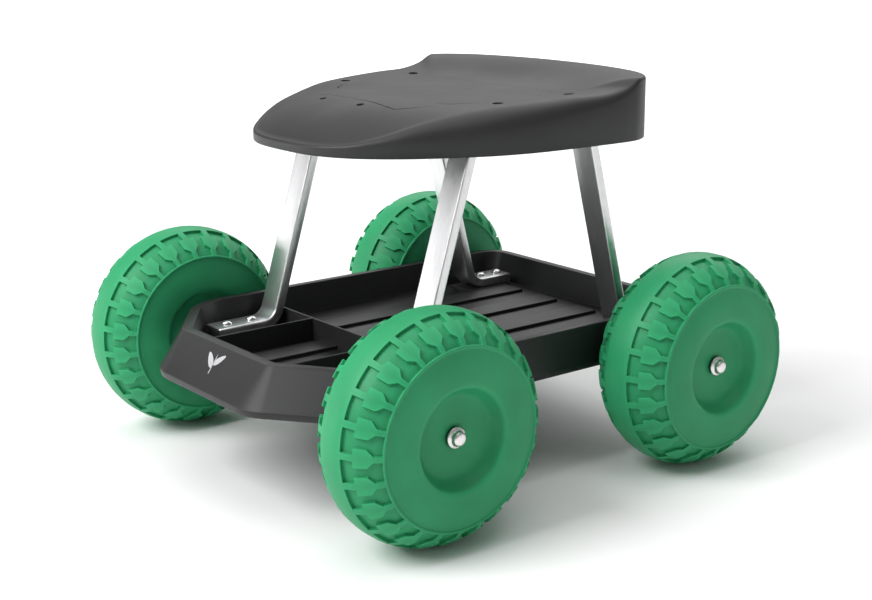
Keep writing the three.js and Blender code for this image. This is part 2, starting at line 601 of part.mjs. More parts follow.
for (const [sideName, side] of Object.entries(SIDES)) {
  place(`leg_frame_${sideName}`, makeLegFrame(side), brushedSteel);
  const feet = { front: FRONT_FOOT_BOLTS_Y, rear: REAR_FOOT_BOLTS_Y };
  for (const [endName, places] of Object.entries(feet)) {
    places.forEach((y, i) => {
      place(`foot_bolt_${endName}_${sideName}_${i + 1}`, makeFootBolt(side * LEG_X, y), zincSteel);
      place(`foot_insert_${endName}_${sideName}_${i + 1}`, makeFootInsert(side * LEG_X, y), zincSteel);
    });
  }
  SEAT_BOLTS_Y.forEach((y, i) => {
    place(`seat_screw_${sideName}_${i + 1}`, makeSeatScrew(side * LEG_X, y), blackSteel);
    place(`seat_nut_${sideName}_${i + 1}`, makeSeatNut(side * LEG_X, y), zincSteel);
  });
}

for (const [endName, end] of Object.entries(ENDS)) {
  place(`axle_${endName}`, makeAxle(end), zincSteel);
  for (const [blockName, reach] of Object.entries(AXLE_BLOCK.places)) {
    place(`axle_block_${endName}_${blockName}`, makeAxleBlock(reach, end), trayPlastic);
  }
  for (const [sideName, side] of Object.entries(SIDES)) {
    const corner = `${endName}_${sideName}`;
    place(`wheel_${corner}`, makeWheel(side, end), wheelPlastic);
    place(`wheel_bush_outer_${corner}`, makeBush(side, end, side), bushPlastic);
    place(`wheel_bush_inner_${corner}`, makeBush(side, end, -side), bushPlastic);
    place(`axle_spacer_${corner}`, makeSpacer(side, end), bushPlastic);
    place(`hub_cap_${corner}`, makeHubCap(side, end), zincSteel);
  }
}

export default gardenSeat;
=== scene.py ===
"""Looks for a four-wheeled rolling garden work seat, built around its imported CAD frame.

The axes are the frame's: +Z up, the nose and the seat's narrow front towards -Y, the seated person's
left towards +X. Pieces are sized in millimetres, which mm() turns into metres. The camera, the floor
and the lights are placed in metres.
"""

import json
import math

import bmesh
import bpy
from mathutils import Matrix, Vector
from mathutils.bvhtree import BVHTree


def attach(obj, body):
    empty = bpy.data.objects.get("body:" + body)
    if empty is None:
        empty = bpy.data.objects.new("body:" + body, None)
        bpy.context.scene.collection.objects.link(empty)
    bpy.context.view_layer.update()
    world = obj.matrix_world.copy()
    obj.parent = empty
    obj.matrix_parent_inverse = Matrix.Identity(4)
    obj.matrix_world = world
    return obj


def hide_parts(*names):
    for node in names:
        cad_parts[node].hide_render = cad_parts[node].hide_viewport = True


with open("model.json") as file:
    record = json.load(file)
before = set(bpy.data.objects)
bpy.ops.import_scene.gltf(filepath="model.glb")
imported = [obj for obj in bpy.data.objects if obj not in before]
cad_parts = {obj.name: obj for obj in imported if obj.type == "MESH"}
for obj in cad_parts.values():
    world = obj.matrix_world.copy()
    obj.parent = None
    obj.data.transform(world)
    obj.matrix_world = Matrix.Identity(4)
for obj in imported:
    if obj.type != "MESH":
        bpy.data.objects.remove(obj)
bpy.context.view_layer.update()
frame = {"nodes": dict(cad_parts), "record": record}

SIDES = {"left": 1, "right": -1}
ENDS = {"front": -1, "rear": 1}
CHASSIS = "chassis"


def mm(*values):
    """Millimetres as metres: one number, or a tuple of them."""
    scaled = tuple(value / 1000 for value in values)
    return scaled[0] if len(scaled) == 1 else scaled


# ---- Camera --------------------------------------------------------------------------------------

CAMERA_PLACE = Vector((1.0989, -0.8462, 0.5011))
CAMERA_AZIMUTH, CAMERA_ELEVATION = 51.03, 15.28  # degrees
CAMERA_SENSOR, CAMERA_LENS = 36, 61.14  # millimetres
CAMERA_SHIFT = (-0.0313, 0.0208)
CAMERA_REACH = 60


def add_camera():
    data = bpy.data.cameras.new("camera")
    data.sensor_width = CAMERA_SENSOR
    data.lens = CAMERA_LENS
    data.shift_x, data.shift_y = CAMERA_SHIFT
    data.clip_end = CAMERA_REACH
    camera = bpy.data.objects.new("camera", data)
    bpy.context.collection.objects.link(camera)
    azimuth, elevation = math.radians(CAMERA_AZIMUTH), math.radians(CAMERA_ELEVATION)
    forward = Vector((-math.sin(azimuth) * math.cos(elevation),
                      math.cos(azimuth) * math.cos(elevation),
                      -math.sin(elevation)))
    camera.location = CAMERA_PLACE
    camera.rotation_euler = forward.to_track_quat("-Z", "Y").to_euler()
    bpy.context.scene.camera = camera


# ---- Node materials ------------------------------------------------------------------------------

def new_material(name):
    material = bpy.data.materials.new(name)
    material.use_nodes = True
    nodes, links = material.node_tree.nodes, material.node_tree.links
    return material, nodes, links, nodes["Principled BSDF"]


def noise(nodes, links, scale, detail=3.0, stretch=(1, 1, 1)):
    """A noise texture in object space, stretched by a mapping."""
    where = nodes.new("ShaderNodeTexCoord")
    mapping = nodes.new("ShaderNodeMapping")
    mapping.inputs["Scale"].default_value = stretch
    texture = nodes.new("ShaderNodeTexNoise")
    texture.inputs["Scale"].default_value = scale
    texture.inputs["Detail"].default_value = detail
    links.new(where.outputs["Object"], mapping.inputs["Vector"])
    links.new(mapping.outputs["Vector"], texture.inputs["Vector"])
    return texture.outputs["Fac"]


def ramp(nodes, links, source, stops):
    """Maps a value through [(position, colour or grey), ...]."""
    node = nodes.new("ShaderNodeValToRGB")
    elements = node.color_ramp.elements
    while len(elements) < len(stops):
        elements.new(0.5)
    for element, (position, colour) in zip(elements, stops):
        element.position = position
        element.color = (*colour, 1) if isinstance(colour, tuple) else (colour, colour, colour, 1)
    links.new(source, node.inputs["Fac"])
    return node.outputs["Color"]


def bump(nodes, links, shader, height, strength, distance, under=None):
    node = nodes.new("ShaderNodeBump")
    node.inputs["Strength"].default_value = strength
    node.inputs["Distance"].default_value = distance
    links.new(height, node.inputs["Height"])
    if under:
        links.new(under, node.inputs["Normal"])
    links.new(node.outputs["Normal"], shader.inputs["Normal"])
    return node.outputs["Normal"]


def mixed(nodes, links, kind, factor, first, second):
    """Mixes two colours, sockets or plain tuples, by a factor socket or number."""
    node = nodes.new("ShaderNodeMix")
    node.data_type = "RGBA"
    node.blend_type = kind
    # Inputs 0, 6 and 7 of a colour mix are its factor and its two colours.
    factor_socket, first_socket, second_socket = (node.inputs[index] for index in (0, 6, 7))
    for socket, value in ((factor_socket, factor), (first_socket, first), (second_socket, second)):
        if isinstance(value, bpy.types.NodeSocket):
            links.new(value, socket)
        elif isinstance(value, tuple):
            socket.default_value = (*value, 1)
        else:
            socket.default_value = value
    return node.outputs[2]


def scaled(colour, factor):
    return tuple(channel * factor for channel in colour)


def moulded_plastic(name, colour, rough, grain, grain_depth, edge_highlight_gain, specular):
    """Moulded plastic: faint mottling, fine spark-eroded grain and slow flow waves, with its sharp edges
    lightened as a painted highlight.
    """
    material, nodes, links, shader = new_material(name)
    mottle = noise(nodes, links, 28, 4)
    body = ramp(nodes, links, mottle, [(0.3, scaled(colour, 0.92)), (0.7, scaled(colour, 1.08))])
    geometry = nodes.new("ShaderNodeNewGeometry")
    # Painted highlight: sharp convex edges (high pointiness) get a lighter colour, standing in for the
    # light they catch.
    edge_highlight_mask = ramp(nodes, links, geometry.outputs["Pointiness"], [(0.505, 0.0), (0.56, 1.0)])
    edge_highlighted = mixed(nodes, links, "MIX", edge_highlight_mask, body, scaled(colour, edge_highlight_gain))
    links.new(edge_highlighted, shader.inputs["Base Color"])
    smears = noise(nodes, links, 9, 5)
    roughness = ramp(nodes, links, smears, [(0.3, rough[0]), (0.7, rough[1])])
    links.new(roughness, shader.inputs["Roughness"])
    shader.inputs["Specular IOR Level"].default_value = specular
    flow, spark = noise(nodes, links, 12, 2), noise(nodes, links, grain, 2)
    waves = bump(nodes, links, shader, flow, strength=0.12, distance=0.0008)
    bump(nodes, links, shader, spark, strength=grain_depth, distance=0.0003, under=waves)
    return material


def brushed_metal(name, colour, rough, lines, depth, stretch=(1, 1, 1)):
    """Metal with fine scratches, drawn out along the directions in which the stretch is small."""
    material, nodes, links, shader = new_material(name)
    scratches = noise(nodes, links, lines, 6, stretch)
    tint = ramp(nodes, links, scratches, [(0.35, scaled(colour, 0.86)), (0.65, colour)])
    links.new(tint, shader.inputs["Base Color"])
    smudges = noise(nodes, links, 22, 4)
    blend = mixed(nodes, links, "MULTIPLY", 0.6,
                  ramp(nodes, links, scratches, [(0.3, rough[0]), (0.7, rough[1])]),
                  ramp(nodes, links, smudges, [(0.35, 0.82), (0.7, 1.0)]))
    links.new(blend, shader.inputs["Roughness"])
    shader.inputs["Metallic"].default_value = 1.0
    bump(nodes, links, shader, scratches, strength=depth, distance=0.0002)
    return material


# The edge gains set how much lighter each plastic's sharp edges are painted, as a painted highlight.
PLASTICS = {
    "seat_plastic": dict(
        colour=(0.018, 0.018, 0.0185), rough=(0.44, 0.54), grain=1500, grain_depth=0.08,
        edge_highlight_gain=1.25, specular=0.36),
    "tray_plastic": dict(
        colour=(0.0072, 0.0072, 0.0076), rough=(0.38, 0.48), grain=1600, grain_depth=0.07,
        edge_highlight_gain=2.2, specular=0.4),
    "wheel_plastic": dict(
        colour=(0.022, 0.265, 0.108), rough=(0.42, 0.54), grain=1300, grain_depth=0.05,
        edge_highlight_gain=1.3, specular=0.25),
    "sprig_ink": dict(
        colour=(0.42, 0.42, 0.43), rough=(0.5, 0.6), grain=900, grain_depth=0.02,
        edge_highlight_gain=1.1, specular=0.3),
    "bush_plastic": dict(
        colour=(0.016, 0.016, 0.017), rough=(0.3, 0.42), grain=1200, grain_depth=0.03,
        edge_highlight_gain=1.4, specular=0.5),
}
METALS = {
    "brushed_steel_bar": dict(
        colour=(0.8, 0.8, 0.81), rough=(0.3, 0.4), lines=420, depth=0.05, stretch=(9, 0.25, 0.25)),
    "hub_cap_metal": dict(colour=(0.8, 0.77, 0.76), rough=(0.3, 0.4), lines=700, depth=0.05),
    "zinc_fasteners": dict(colour=(0.74, 0.75, 0.76), rough=(0.25, 0.4), lines=900, depth=0.06),
    "black_screws": dict(colour=(0.02, 0.02, 0.021), rough=(0.35, 0.5), lines=800, depth=0.05),
}
MATERIALS = {name: moulded_plastic(name, **settings) for name, settings in PLASTICS.items()}
MATERIALS |= {name: brushed_metal(name, **settings) for name, settings in METALS.items()}


# ---- Mesh pieces ---------------------------------------------------------------------------------

def add_piece(name, points, faces, slot, replaced=(), body=CHASSIS, bevel=None, smooth_angle=35):
    """A piece from millimetre points, with an optional rounded-edge bevel, riding on a body."""
    mesh = bpy.data.meshes.new(name)
    mesh.from_pydata([mm(*point) for point in points], [], faces)
    mesh.validate()
    edit = bmesh.new()
    edit.from_mesh(mesh)
    bmesh.ops.remove_doubles(edit, verts=edit.verts, dist=1e-6)
    bmesh.ops.recalc_face_normals(edit, faces=edit.faces)
    edit.to_mesh(mesh)
    edit.free()
    piece = bpy.data.objects.new(name, mesh)
    bpy.context.collection.objects.link(piece)
    mesh.materials.append(MATERIALS[slot])
    if bevel:
        rounding = piece.modifiers.new("rounding", "BEVEL")
        rounding.width = mm(bevel)
        rounding.segments = 2
        rounding.limit_method = "ANGLE"
        rounding.angle_limit = math.radians(30)
        rounding.harden_normals = True
        rounding.miter_outer = "MITER_ARC"
    mesh.shade_smooth()
    mesh.set_sharp_from_angle(angle=math.radians(smooth_angle))
    if replaced:
        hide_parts(*replaced)
    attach(piece, body)
    return piece


def join_points(parts):
    """Several (points, faces) lists as one."""
    points, faces = [], []
    for some_points, some_faces in parts:
        start = len(points)
        points.extend(some_points)
        faces.extend([tuple(start + corner for corner in face) for face in some_faces])
    return points, faces


def skinned(rings, cap_first=True, cap_last=True):
    """Faces over closed rings of equally many points, with a fan over each capped end."""
    count = len(rings[0])
    points = [tuple(point) for ring in rings for point in ring]
    faces = []
    for level in range(len(rings) - 1):
        for i in range(count):
            a, b = level * count + i, level * count + (i + 1) % count
            faces.append((a, b, b + count, a + count))
    for level, capped in ((0, cap_first), (len(rings) - 1, cap_last)):
        if capped:
            ring = rings[level]
            centre = [sum(point[axis] for point in ring) / count for axis in range(3)]
            points.append(tuple(centre))
            for i in range(count):
                faces.append((len(points) - 1, level * count + i, level * count + (i + 1) % count))
    return points, faces


def boxed(x0, x1, y0, y1, z0, z1):
    corners = [(x, y, z) for z in (z0, z1) for y in (y0, y1) for x in (x0, x1)]
    faces = [(0, 1, 3, 2), (4, 6, 7, 5), (0, 4, 5, 1), (2, 3, 7, 6), (0, 2, 6, 4), (1, 5, 7, 3)]
    return corners, faces


def turned(profile, origin, axis="x", segments=48, closed=False):
    """A profile of (radius, height) turned about an axis through the origin point."""
    rings = []
    for radius, height in profile:
        ring = []
        for i in range(segments):
            angle = 2 * math.pi * (i + 0.5) / segments
            u, v = radius * math.cos(angle), radius * math.sin(angle)
            offset = (height, u, v) if axis == "x" else (u, v, height)
            ring.append(tuple(o + d for o, d in zip(origin, offset)))
        rings.append(ring)
    if closed:
        rings.append(rings[0])
    return skinned(rings, not closed, not closed)


def tangent(before, at, after, gap_before, gap_after):
    """The slope at the middle one of three points, for the parameter gaps between them."""
    return ((at - before) / gap_before - (after - before) / (gap_before + gap_after)
            + (after - at) / gap_after)


def smooth_loop(controls, count):
    """Points on a closed centripetal Catmull-Rom curve, its spacing set by the controls' x, y and z."""
    total = len(controls)
    curve = []
    for step in range(count):
        span, t = divmod(total * step / count, 1)
        p = [Vector(controls[(int(span) + k) % total]) for k in (-1, 0, 1, 2)]
        gaps = [(p[k + 1].xyz - p[k].xyz).length ** 0.5 for k in range(3)]
        leave = tangent(*p[:3], gaps[0], gaps[1]) * gaps[1]
        arrive = tangent(*p[1:], gaps[1], gaps[2]) * gaps[1]
        curve.append(p[1] + leave * t + (3 * (p[2] - p[1]) - 2 * leave - arrive) * t * t
                     + (2 * (p[1] - p[2]) + leave + arrive) * t ** 3)
    return curve


def smoothstep(low, high, value):
    t = min(1.0, max(0.0, (value - low) / (high - low)))
    return t * t * (3 - 2 * t)


# ---- Wheels --------------------------------------------------------------------------------------

WHEEL_RADIUS = 100
HALF_TRACK = 201
HALF_WHEELBASE = 153.7
LUGS = 24
LUG_PITCH = 360 / LUGS
LUG_PHASE = 1.3  # degrees from the -Y direction to the middle of a lug
TREAD_DEPTH = 3.0
STEM_ANGLE, LUG_ANGLE = 1.7, 5.0  # half-angles of the narrow stems and of the lugs, in degrees
COLUMN_OFFSETS = (-LUG_PITCH / 2, -LUG_ANGLE, -STEM_ANGLE, 0, STEM_ANGLE, LUG_ANGLE)
# Stations across half the tread, from the middle plane out: rib, stems, lugs with tapered shoulders.
RIB_EDGE, LUG_START, LUG_SHOULDER, LUG_END = 13.3, 23.4, 32.9, 36.8
TREAD_STATIONS = [5, 9.5, RIB_EDGE, 18.4, LUG_START, 28.2, LUG_SHOULDER, LUG_END, 39.2, 41.0]
CROWN_HALF, CROWN_DROP, CROWN_POWER, SHOULDER_SLOPE = 38.2, 17.6, 2.2, 1.64
# The sidewall inside the tread: raised ring, groove, swelling face, dish and hub, as (radius, height).
SIDEWALL = [
    (77.2, 41.9), (76.3, 42.2), (75.4, 41.9), (74.6, 41.2), (73.4, 41.2), (70, 41.8), (65, 42.7),
    (59, 43.4), (53, 43.5), (47.2, 43.3), (44.2, 42.9), (42.7, 41.8), (41.6, 39.8), (38.2, 34.4),
    (36.6, 32.2), (35, 30.9), (33, 30.3), (30, 30.05), (22, 30), (13, 30), (10.4, 30), (7.2, 30),
    (6.7, 29.5),
]


def crown_radius(h):
    """Radius of the tread's top at a distance h from the wheel's middle plane."""
    if h <= CROWN_HALF:
        return WHEEL_RADIUS - CROWN_DROP * (h / CROWN_HALF) ** CROWN_POWER
    return WHEEL_RADIUS - CROWN_DROP - (h - CROWN_HALF) * SHOULDER_SLOPE


def tread_point(h, radius, degrees):
    angle = math.radians(degrees)
    return (h, -radius * math.cos(angle), radius * math.sin(angle))


def is_raised(row, outer):
    """Whether a cell is tread, given its inner station and how far it reaches from its lug's middle."""
    station = TREAD_STATIONS[row]
    if station < RIB_EDGE:
        return True
    if station < LUG_START or station >= LUG_SHOULDER:
        return outer <= STEM_ANGLE
    return outer <= LUG_ANGLE


def tread_cells(offsets):
    """The grid of stations and columns as (corners, raised), with each corner a (row, column)."""
    cells = []
    for row in range(len(TREAD_STATIONS) - 1):
        for column, start in enumerate(offsets):
            end = offsets[(column + 1) % len(offsets)]
            if end < start:
                end = LUG_PITCH / 2
            inner, outer = sorted((abs(start), abs(end)))
            near, far = (row, column), (row, column + 1)
            near_out, far_out = (row + 1, column), (row + 1, column + 1)
            tapered = TREAD_STATIONS[row] == LUG_SHOULDER and inner == STEM_ANGLE and outer == LUG_ANGLE
            if tapered and abs(start) < abs(end):
                cells.append(([near, near_out, far], True))
                cells.append(([near_out, far_out, far], False))
            elif tapered:
                cells.append(([near, far_out, far], True))
                cells.append(([near, near_out, far_out], False))
            else:
                cells.append(([near, near_out, far_out, far], is_raised(row, outer)))
    return cells


def tread_half(side, stagger):
    """One half of the tread: points, faces, the rings of points at its two borders, and its angles.

    Each cell of the grid is raised or a pocket's floor, and a wall stands wherever the two meet."""
    offsets = COLUMN_OFFSETS * LUGS
    angles = [lug * LUG_PITCH + stagger + offset for lug in range(LUGS) for offset in COLUMN_OFFSETS]
    total = len(angles)
    points, found, faces = [], {}, []

    def vertex(row, column, raised):
        key = (row, column % total, raised)
        if key not in found:
            h = TREAD_STATIONS[row]
            radius = crown_radius(h)
            if not raised:
                slope = crown_radius(h + 0.5) - crown_radius(h - 0.5)
                length = math.hypot(1, slope)
                h += slope / length * TREAD_DEPTH
                radius -= TREAD_DEPTH / length
            found[key] = len(points)
            points.append(tread_point(side * h, radius, angles[column % total]))
        return found[key]

    edges = {}
    for corners, raised in tread_cells(offsets):
        faces.append([vertex(row, column, raised) for row, column in corners])
        for a, b in zip(corners, corners[1:] + corners[:1]):
            ends = ((a[0], a[1] % total), (b[0], b[1] % total))
            edges.setdefault(frozenset(ends), []).append((ends, raised))
    last = len(TREAD_STATIONS) - 1
    for sides in edges.values():
        (a, b), raised = sides[0]
        open_pocket = len(sides) == 1 and a[0] == last and not raised
        if open_pocket or len({kind for _, kind in sides}) == 2:
            faces.append([vertex(*a, True), vertex(*b, True), vertex(*b, False), vertex(*a, False)])
    first_ring = [vertex(0, column, True) for column in range(total)]
    last_ring = [vertex(last, column, True) for column in range(total)]
    return points, faces, first_ring, last_ring, angles


def wheel_geometry():
    """A one-piece wheel about the origin, its axis along X, with staggered lugs on the two halves."""
    points, faces, borders = [], [], []
    for side, stagger in ((1, LUG_PHASE), (-1, LUG_PHASE + LUG_PITCH / 2)):
        half, half_faces, inner_ring, outer_ring, angles = tread_half(side, stagger)
        start = len(points)
        points.extend(half)
        faces.extend([[start + corner for corner in face] for face in half_faces])
        borders.append([start + corner for corner in inner_ring])
        ring = [start + corner for corner in outer_ring]
        for radius, h in SIDEWALL:
            base = len(points)
            points.extend(tread_point(side * h, radius, angle) for angle in angles)
            following = list(range(base, base + len(angles)))
            faces.extend(bridge(ring, following))
            ring = following
        borders.append(ring)
    left_crown, left_bore, right_crown, right_bore = borders
    # The right half's columns run half a lug later, so its ring is turned back to meet the left's.
    shift = len(COLUMN_OFFSETS) // 2
    faces.extend(bridge(left_crown, right_crown[-shift:] + right_crown[:-shift]))
    faces.extend(bridge(left_bore, right_bore[-shift:] + right_bore[:-shift]))
    return points, faces


def bridge(ring_a, ring_b):
    """Faces between two rings of equally many points."""
    next_a, next_b = ring_a[1:] + ring_a[:1], ring_b[1:] + ring_b[:1]
    return list(zip(ring_a, next_a, next_b, ring_b))


def add_wheels():
    points, faces = wheel_geometry()
    for end_name, end in ENDS.items():
        for side_name, side in SIDES.items():
            corner = f"{end_name}_{side_name}"
            centre = (side * HALF_TRACK, end * HALF_WHEELBASE, WHEEL_RADIUS)
            # The right-hand wheels are the same moulding turned round to face the other way.
            placed = [(side * x + centre[0], y + centre[1], z + centre[2]) for x, y, z in points]
            add_piece(f"wheel_moulding_{corner}", placed, faces, "wheel_plastic",
                      [f"wheel_{corner}"], f"{corner}_wheel", bevel=0.5, smooth_angle=50)
            add_hub_cap(corner, side, centre)
            add_outer_bush(corner, side, centre)


CAP_START, CAP_BORE, CAP_COLLAR, CAP_DOME = 32.3, 4.3, 9.0, 6.2
SLEEVE_BORE, SLEEVE_RADIUS, SLEEVE_START = 4.3, 6.3, 6.3
FLANGE_RADIUS, FLANGE_START, FLANGE_END = 8.8, 30.3, 31.9


def add_hub_cap(corner, side, centre):
    """A pressed cap over the axle's end: a flat collar, then a low dome."""
    rise = [(CAP_BORE, 0), (CAP_COLLAR, 0), (CAP_COLLAR + 0.3, 0.5), (CAP_COLLAR, 1.4),
            (CAP_COLLAR - 0.7, 1.9), (CAP_DOME + 0.8, 2.1), (CAP_DOME + 0.2, 2.6), (CAP_DOME, 3.4),
            (CAP_DOME - 0.2, 5.6), (CAP_DOME - 0.9, 6.5), (CAP_DOME - 2.2, 6.95), (0.4, 7)]
    points, faces = turned([(r, side * (CAP_START + h)) for r, h in rise], centre)
    add_piece(f"hub_cap_pressing_{corner}", points, faces, "hub_cap_metal", [f"hub_cap_{corner}"],
              smooth_angle=60)


def add_outer_bush(corner, side, centre):
    """The flanged sleeve in the wheel's bore, its flange hidden behind the cap's collar."""
    profile = [(SLEEVE_BORE, FLANGE_END), (SLEEVE_BORE, SLEEVE_START), (SLEEVE_RADIUS, SLEEVE_START),
               (SLEEVE_RADIUS, FLANGE_START), (FLANGE_RADIUS, FLANGE_START), (FLANGE_RADIUS, FLANGE_END)]
    points, faces = turned([(r, side * h) for r, h in profile], centre, closed=True)
    add_piece(f"bush_sleeve_{corner}", points, faces, "bush_plastic", [f"wheel_bush_outer_{corner}"],
              f"{corner}_wheel")


# ---- Tray ----------------------------------------------------------------------------------------

RIM_TOP, SKIRT_EDGE, TRAY_BOTTOM = 136.4, 101, 95.5
FLOOR_TOP, FLOOR_UNDER, PAD_TOP, DIVIDER_TOP = 105.8, 104.3, 109, 127
NOSE_Y, NOSE_FLARE, NOSE_HALF_WIDTH, NOSE_WIDENING = 227.5, 25.7, 74, 3
SHOULDER_Y, SHOULDER_FLARE = 173, 20
SIDE_X, SIDE_FLARE = 151.5, 3
BACK_Y, BACK_FLARE = 212.3, 3
# Corner radii in plan at the rim's outer edge; the nose's grow by the flare towards the skirt's foot.
NOSE_CORNER, NOSE_CORNER_FLARE, SHOULDER_CORNER, BACK_CORNER, LEAST_CORNER = 20, 28, 62, 24, 3
RIM_INSET = (8.8, 9.6, 7.8, 9)  # front, facet, side, back
CAVITY_FOOT = (12, 11, 9, 13.3)
SKIRT_WALL = (4, 4, 3, 3)
EDGE_INSET = (0.8, 1.5, 1, 1)
POCKET_WALL = (7, 7.5, 5, 5)
POCKET_TOP, POCKET_BOTTOM, POCKET_END_Y = 132.4, 100.5, -186
PADS = [(-98.5, -71), (-43, -15.5), (15.5, 43), (71, 98.5)]
PAD_FRONT_Y, PAD_END_Y = -211.5, 183
FOOT_PAD_X, FOOT_PAD_FRONT, FOOT_PAD_REAR = (100.5, 131.5), (-179, -104), (132, 191)
DIVIDER_X, DIVIDER_Y, DIVIDER_FRONT_Y, DIVIDER_HALF = 58, -96, -219.5, 1.2
SINK = 1  # how far the floor's features run into the floor and walls
RIM_ROUND, RIM_ROUND_MIDDLE = 1.2, 0.35  # the rim's rounded edges, and their middle points
FOOT_ROUND, RECESS_ROUND = 0.4, 1.5
LEG_X = 116


def plus(insets, more):
    return tuple(inset + more for inset in insets)


def rounded_outline(corners, steps):
    """A list of (x, y, radius) corners as points, each corner turned into an arc."""
    points = []
    for i, (x, y, radius) in enumerate(corners):
        corner = Vector((x, y))
        before = (Vector(corners[i - 1][:2]) - corner).normalized()
        after = (Vector(corners[(i + 1) % len(corners)][:2]) - corner).normalized()
        half_angle = math.acos(before.dot(after)) / 2
        centre = corner + (before + after).normalized() * radius / math.sin(half_angle)
        start = corner + before * radius / math.tan(half_angle) - centre
        sweep = math.pi - 2 * half_angle
        for step in range(steps + 1):
            angle = sweep * step / steps
            points.append((centre.x + start.x * math.cos(angle) - start.y * math.sin(angle),
                           centre.y + start.x * math.sin(angle) + start.y * math.cos(angle)))
    return points


def tightened(radius, first, second):
    """A corner's radius once its two edges are moved in, so that it stays concentric."""
    return max(LEAST_CORNER, radius - (first + second) / 2)


def tray_plan(z, flare, insets=(0, 0, 0, 0)):
    """The tray's outline at a flare of 0 (rim) to 1 (foot of the skirt), moved in edge by edge."""
    front, facet, side, back = insets
    nose = Vector((NOSE_HALF_WIDTH + flare * NOSE_WIDENING, -NOSE_Y - flare * NOSE_FLARE))
    shoulder = Vector((SIDE_X + flare * SIDE_FLARE, -SHOULDER_Y - flare * SHOULDER_FLARE))
    along = (shoulder - nose).normalized()
    on_facet = nose + Vector((-along.y, along.x)) * facet
    nose_y, side_x = nose.y + front, shoulder.x - side
    nose_x = on_facet.x + (nose_y - on_facet.y) * along.x / along.y
    shoulder_y = on_facet.y + (side_x - on_facet.x) * along.y / along.x
    half = [(nose_x, nose_y, tightened(NOSE_CORNER + flare * NOSE_CORNER_FLARE, front, facet)),
            (side_x, shoulder_y, tightened(SHOULDER_CORNER, facet, side)),
            (side_x, BACK_Y + flare * BACK_FLARE - back, tightened(BACK_CORNER, side, back))]
    mirrored = [(-x, y, radius) for x, y, radius in reversed(half)]
    return [(x, y, z) for x, y in rounded_outline(half + mirrored, 12)]


def tray_shell():
    """The tray as one skin, from under the floor, round the skirt and rim, down to the floor."""
    flare_below = RIM_ROUND / (RIM_TOP - SKIRT_EDGE)
    rings = [
        tray_plan(FLOOR_UNDER, 1, plus(SKIRT_WALL, RECESS_ROUND)),
        tray_plan(FLOOR_UNDER - RECESS_ROUND, 1, SKIRT_WALL),
        tray_plan(TRAY_BOTTOM + FOOT_ROUND, 1, SKIRT_WALL),
        tray_plan(TRAY_BOTTOM, 1, plus(SKIRT_WALL, -FOOT_ROUND)),
        tray_plan(TRAY_BOTTOM, 1, plus(EDGE_INSET, FOOT_ROUND)),
        tray_plan(TRAY_BOTTOM + FOOT_ROUND, 1, EDGE_INSET),
        tray_plan(SKIRT_EDGE - 0.6, 1, (0.15, 0.2, 0.15, 0.15)),
        tray_plan(SKIRT_EDGE, 1, (0.15, 0.15, 0.05, 0.05)),
        tray_plan(SKIRT_EDGE + 0.7, 0.975),
        tray_plan(RIM_TOP - RIM_ROUND, flare_below),
        tray_plan(RIM_TOP - RIM_ROUND_MIDDLE, flare_below, (RIM_ROUND_MIDDLE,) * 4),
        tray_plan(RIM_TOP, 0, (RIM_ROUND,) * 4),
        tray_plan(RIM_TOP, 0, plus(RIM_INSET, -RIM_ROUND)),
        tray_plan(RIM_TOP - RIM_ROUND_MIDDLE, 0, plus(RIM_INSET, -RIM_ROUND_MIDDLE)),
        tray_plan(RIM_TOP - RIM_ROUND, 0, RIM_INSET),
        tray_plan(FLOOR_TOP + 2.4, 0, plus(CAVITY_FOOT, -0.2)),
        tray_plan(FLOOR_TOP + 0.7, 0, plus(CAVITY_FOOT, 0.5)),
        tray_plan(FLOOR_TOP, 0, plus(CAVITY_FOOT, 2)),
    ]
    return skinned(rings)


def nose_pocket():
    """The hollow in the double-walled nose, open from below, as a strip that bends round the front."""
    flare = (RIM_TOP - POCKET_TOP) / (RIM_TOP - SKIRT_EDGE)
    corners = (tray_plan(POCKET_BOTTOM, 1, SKIRT_WALL), tray_plan(POCKET_TOP, flare, SKIRT_WALL),
               tray_plan(POCKET_TOP, 0, POCKET_WALL), tray_plan(POCKET_BOTTOM, 0, POCKET_WALL))
    sections = [section for section in zip(*corners) if section[0][1] < POCKET_END_Y]
    # The outline starts and ends at the nose, so its front sections are put in order from right to left.
    sections.sort(key=lambda section: math.atan2(section[0][0], -section[0][1]))
    return skinned(sections)


def add_tray():
    points, faces = tray_shell()
    tray = add_piece("tray_moulding", points, faces, "tray_plastic", ["tray"], smooth_angle=40)
    cut_away(tray, [nose_pocket()], 40)
    inner_edge = SIDE_X - RIM_INSET[2] + SINK
    foot = FLOOR_TOP - SINK
    features = {f"tray_band_{i + 1}": boxed(x0, x1, PAD_FRONT_Y, PAD_END_Y, foot, PAD_TOP)
                for i, (x0, x1) in enumerate(PADS)}
    for side_name, side in SIDES.items():
        x0, x1 = sorted(side * x for x in FOOT_PAD_X)
        features[f"tray_foot_pad_front_{side_name}"] = boxed(x0, x1, *FOOT_PAD_FRONT, foot, PAD_TOP)
        features[f"tray_foot_pad_rear_{side_name}"] = boxed(x0, x1, *FOOT_PAD_REAR, foot, PAD_TOP)
        x = side * DIVIDER_X
        features[f"tray_divider_{side_name}"] = boxed(
            x - DIVIDER_HALF, x + DIVIDER_HALF, DIVIDER_FRONT_Y, DIVIDER_Y, foot, DIVIDER_TOP)
    features["tray_divider_cross"] = boxed(
        -inner_edge, inner_edge, DIVIDER_Y - DIVIDER_HALF, DIVIDER_Y + DIVIDER_HALF, foot, DIVIDER_TOP)
    for name, (points, faces) in features.items():
        add_piece(name, points, faces, "tray_plastic", bevel=0.7)


# ---- Sprig on the nose ----------------------------------------------------------------------------

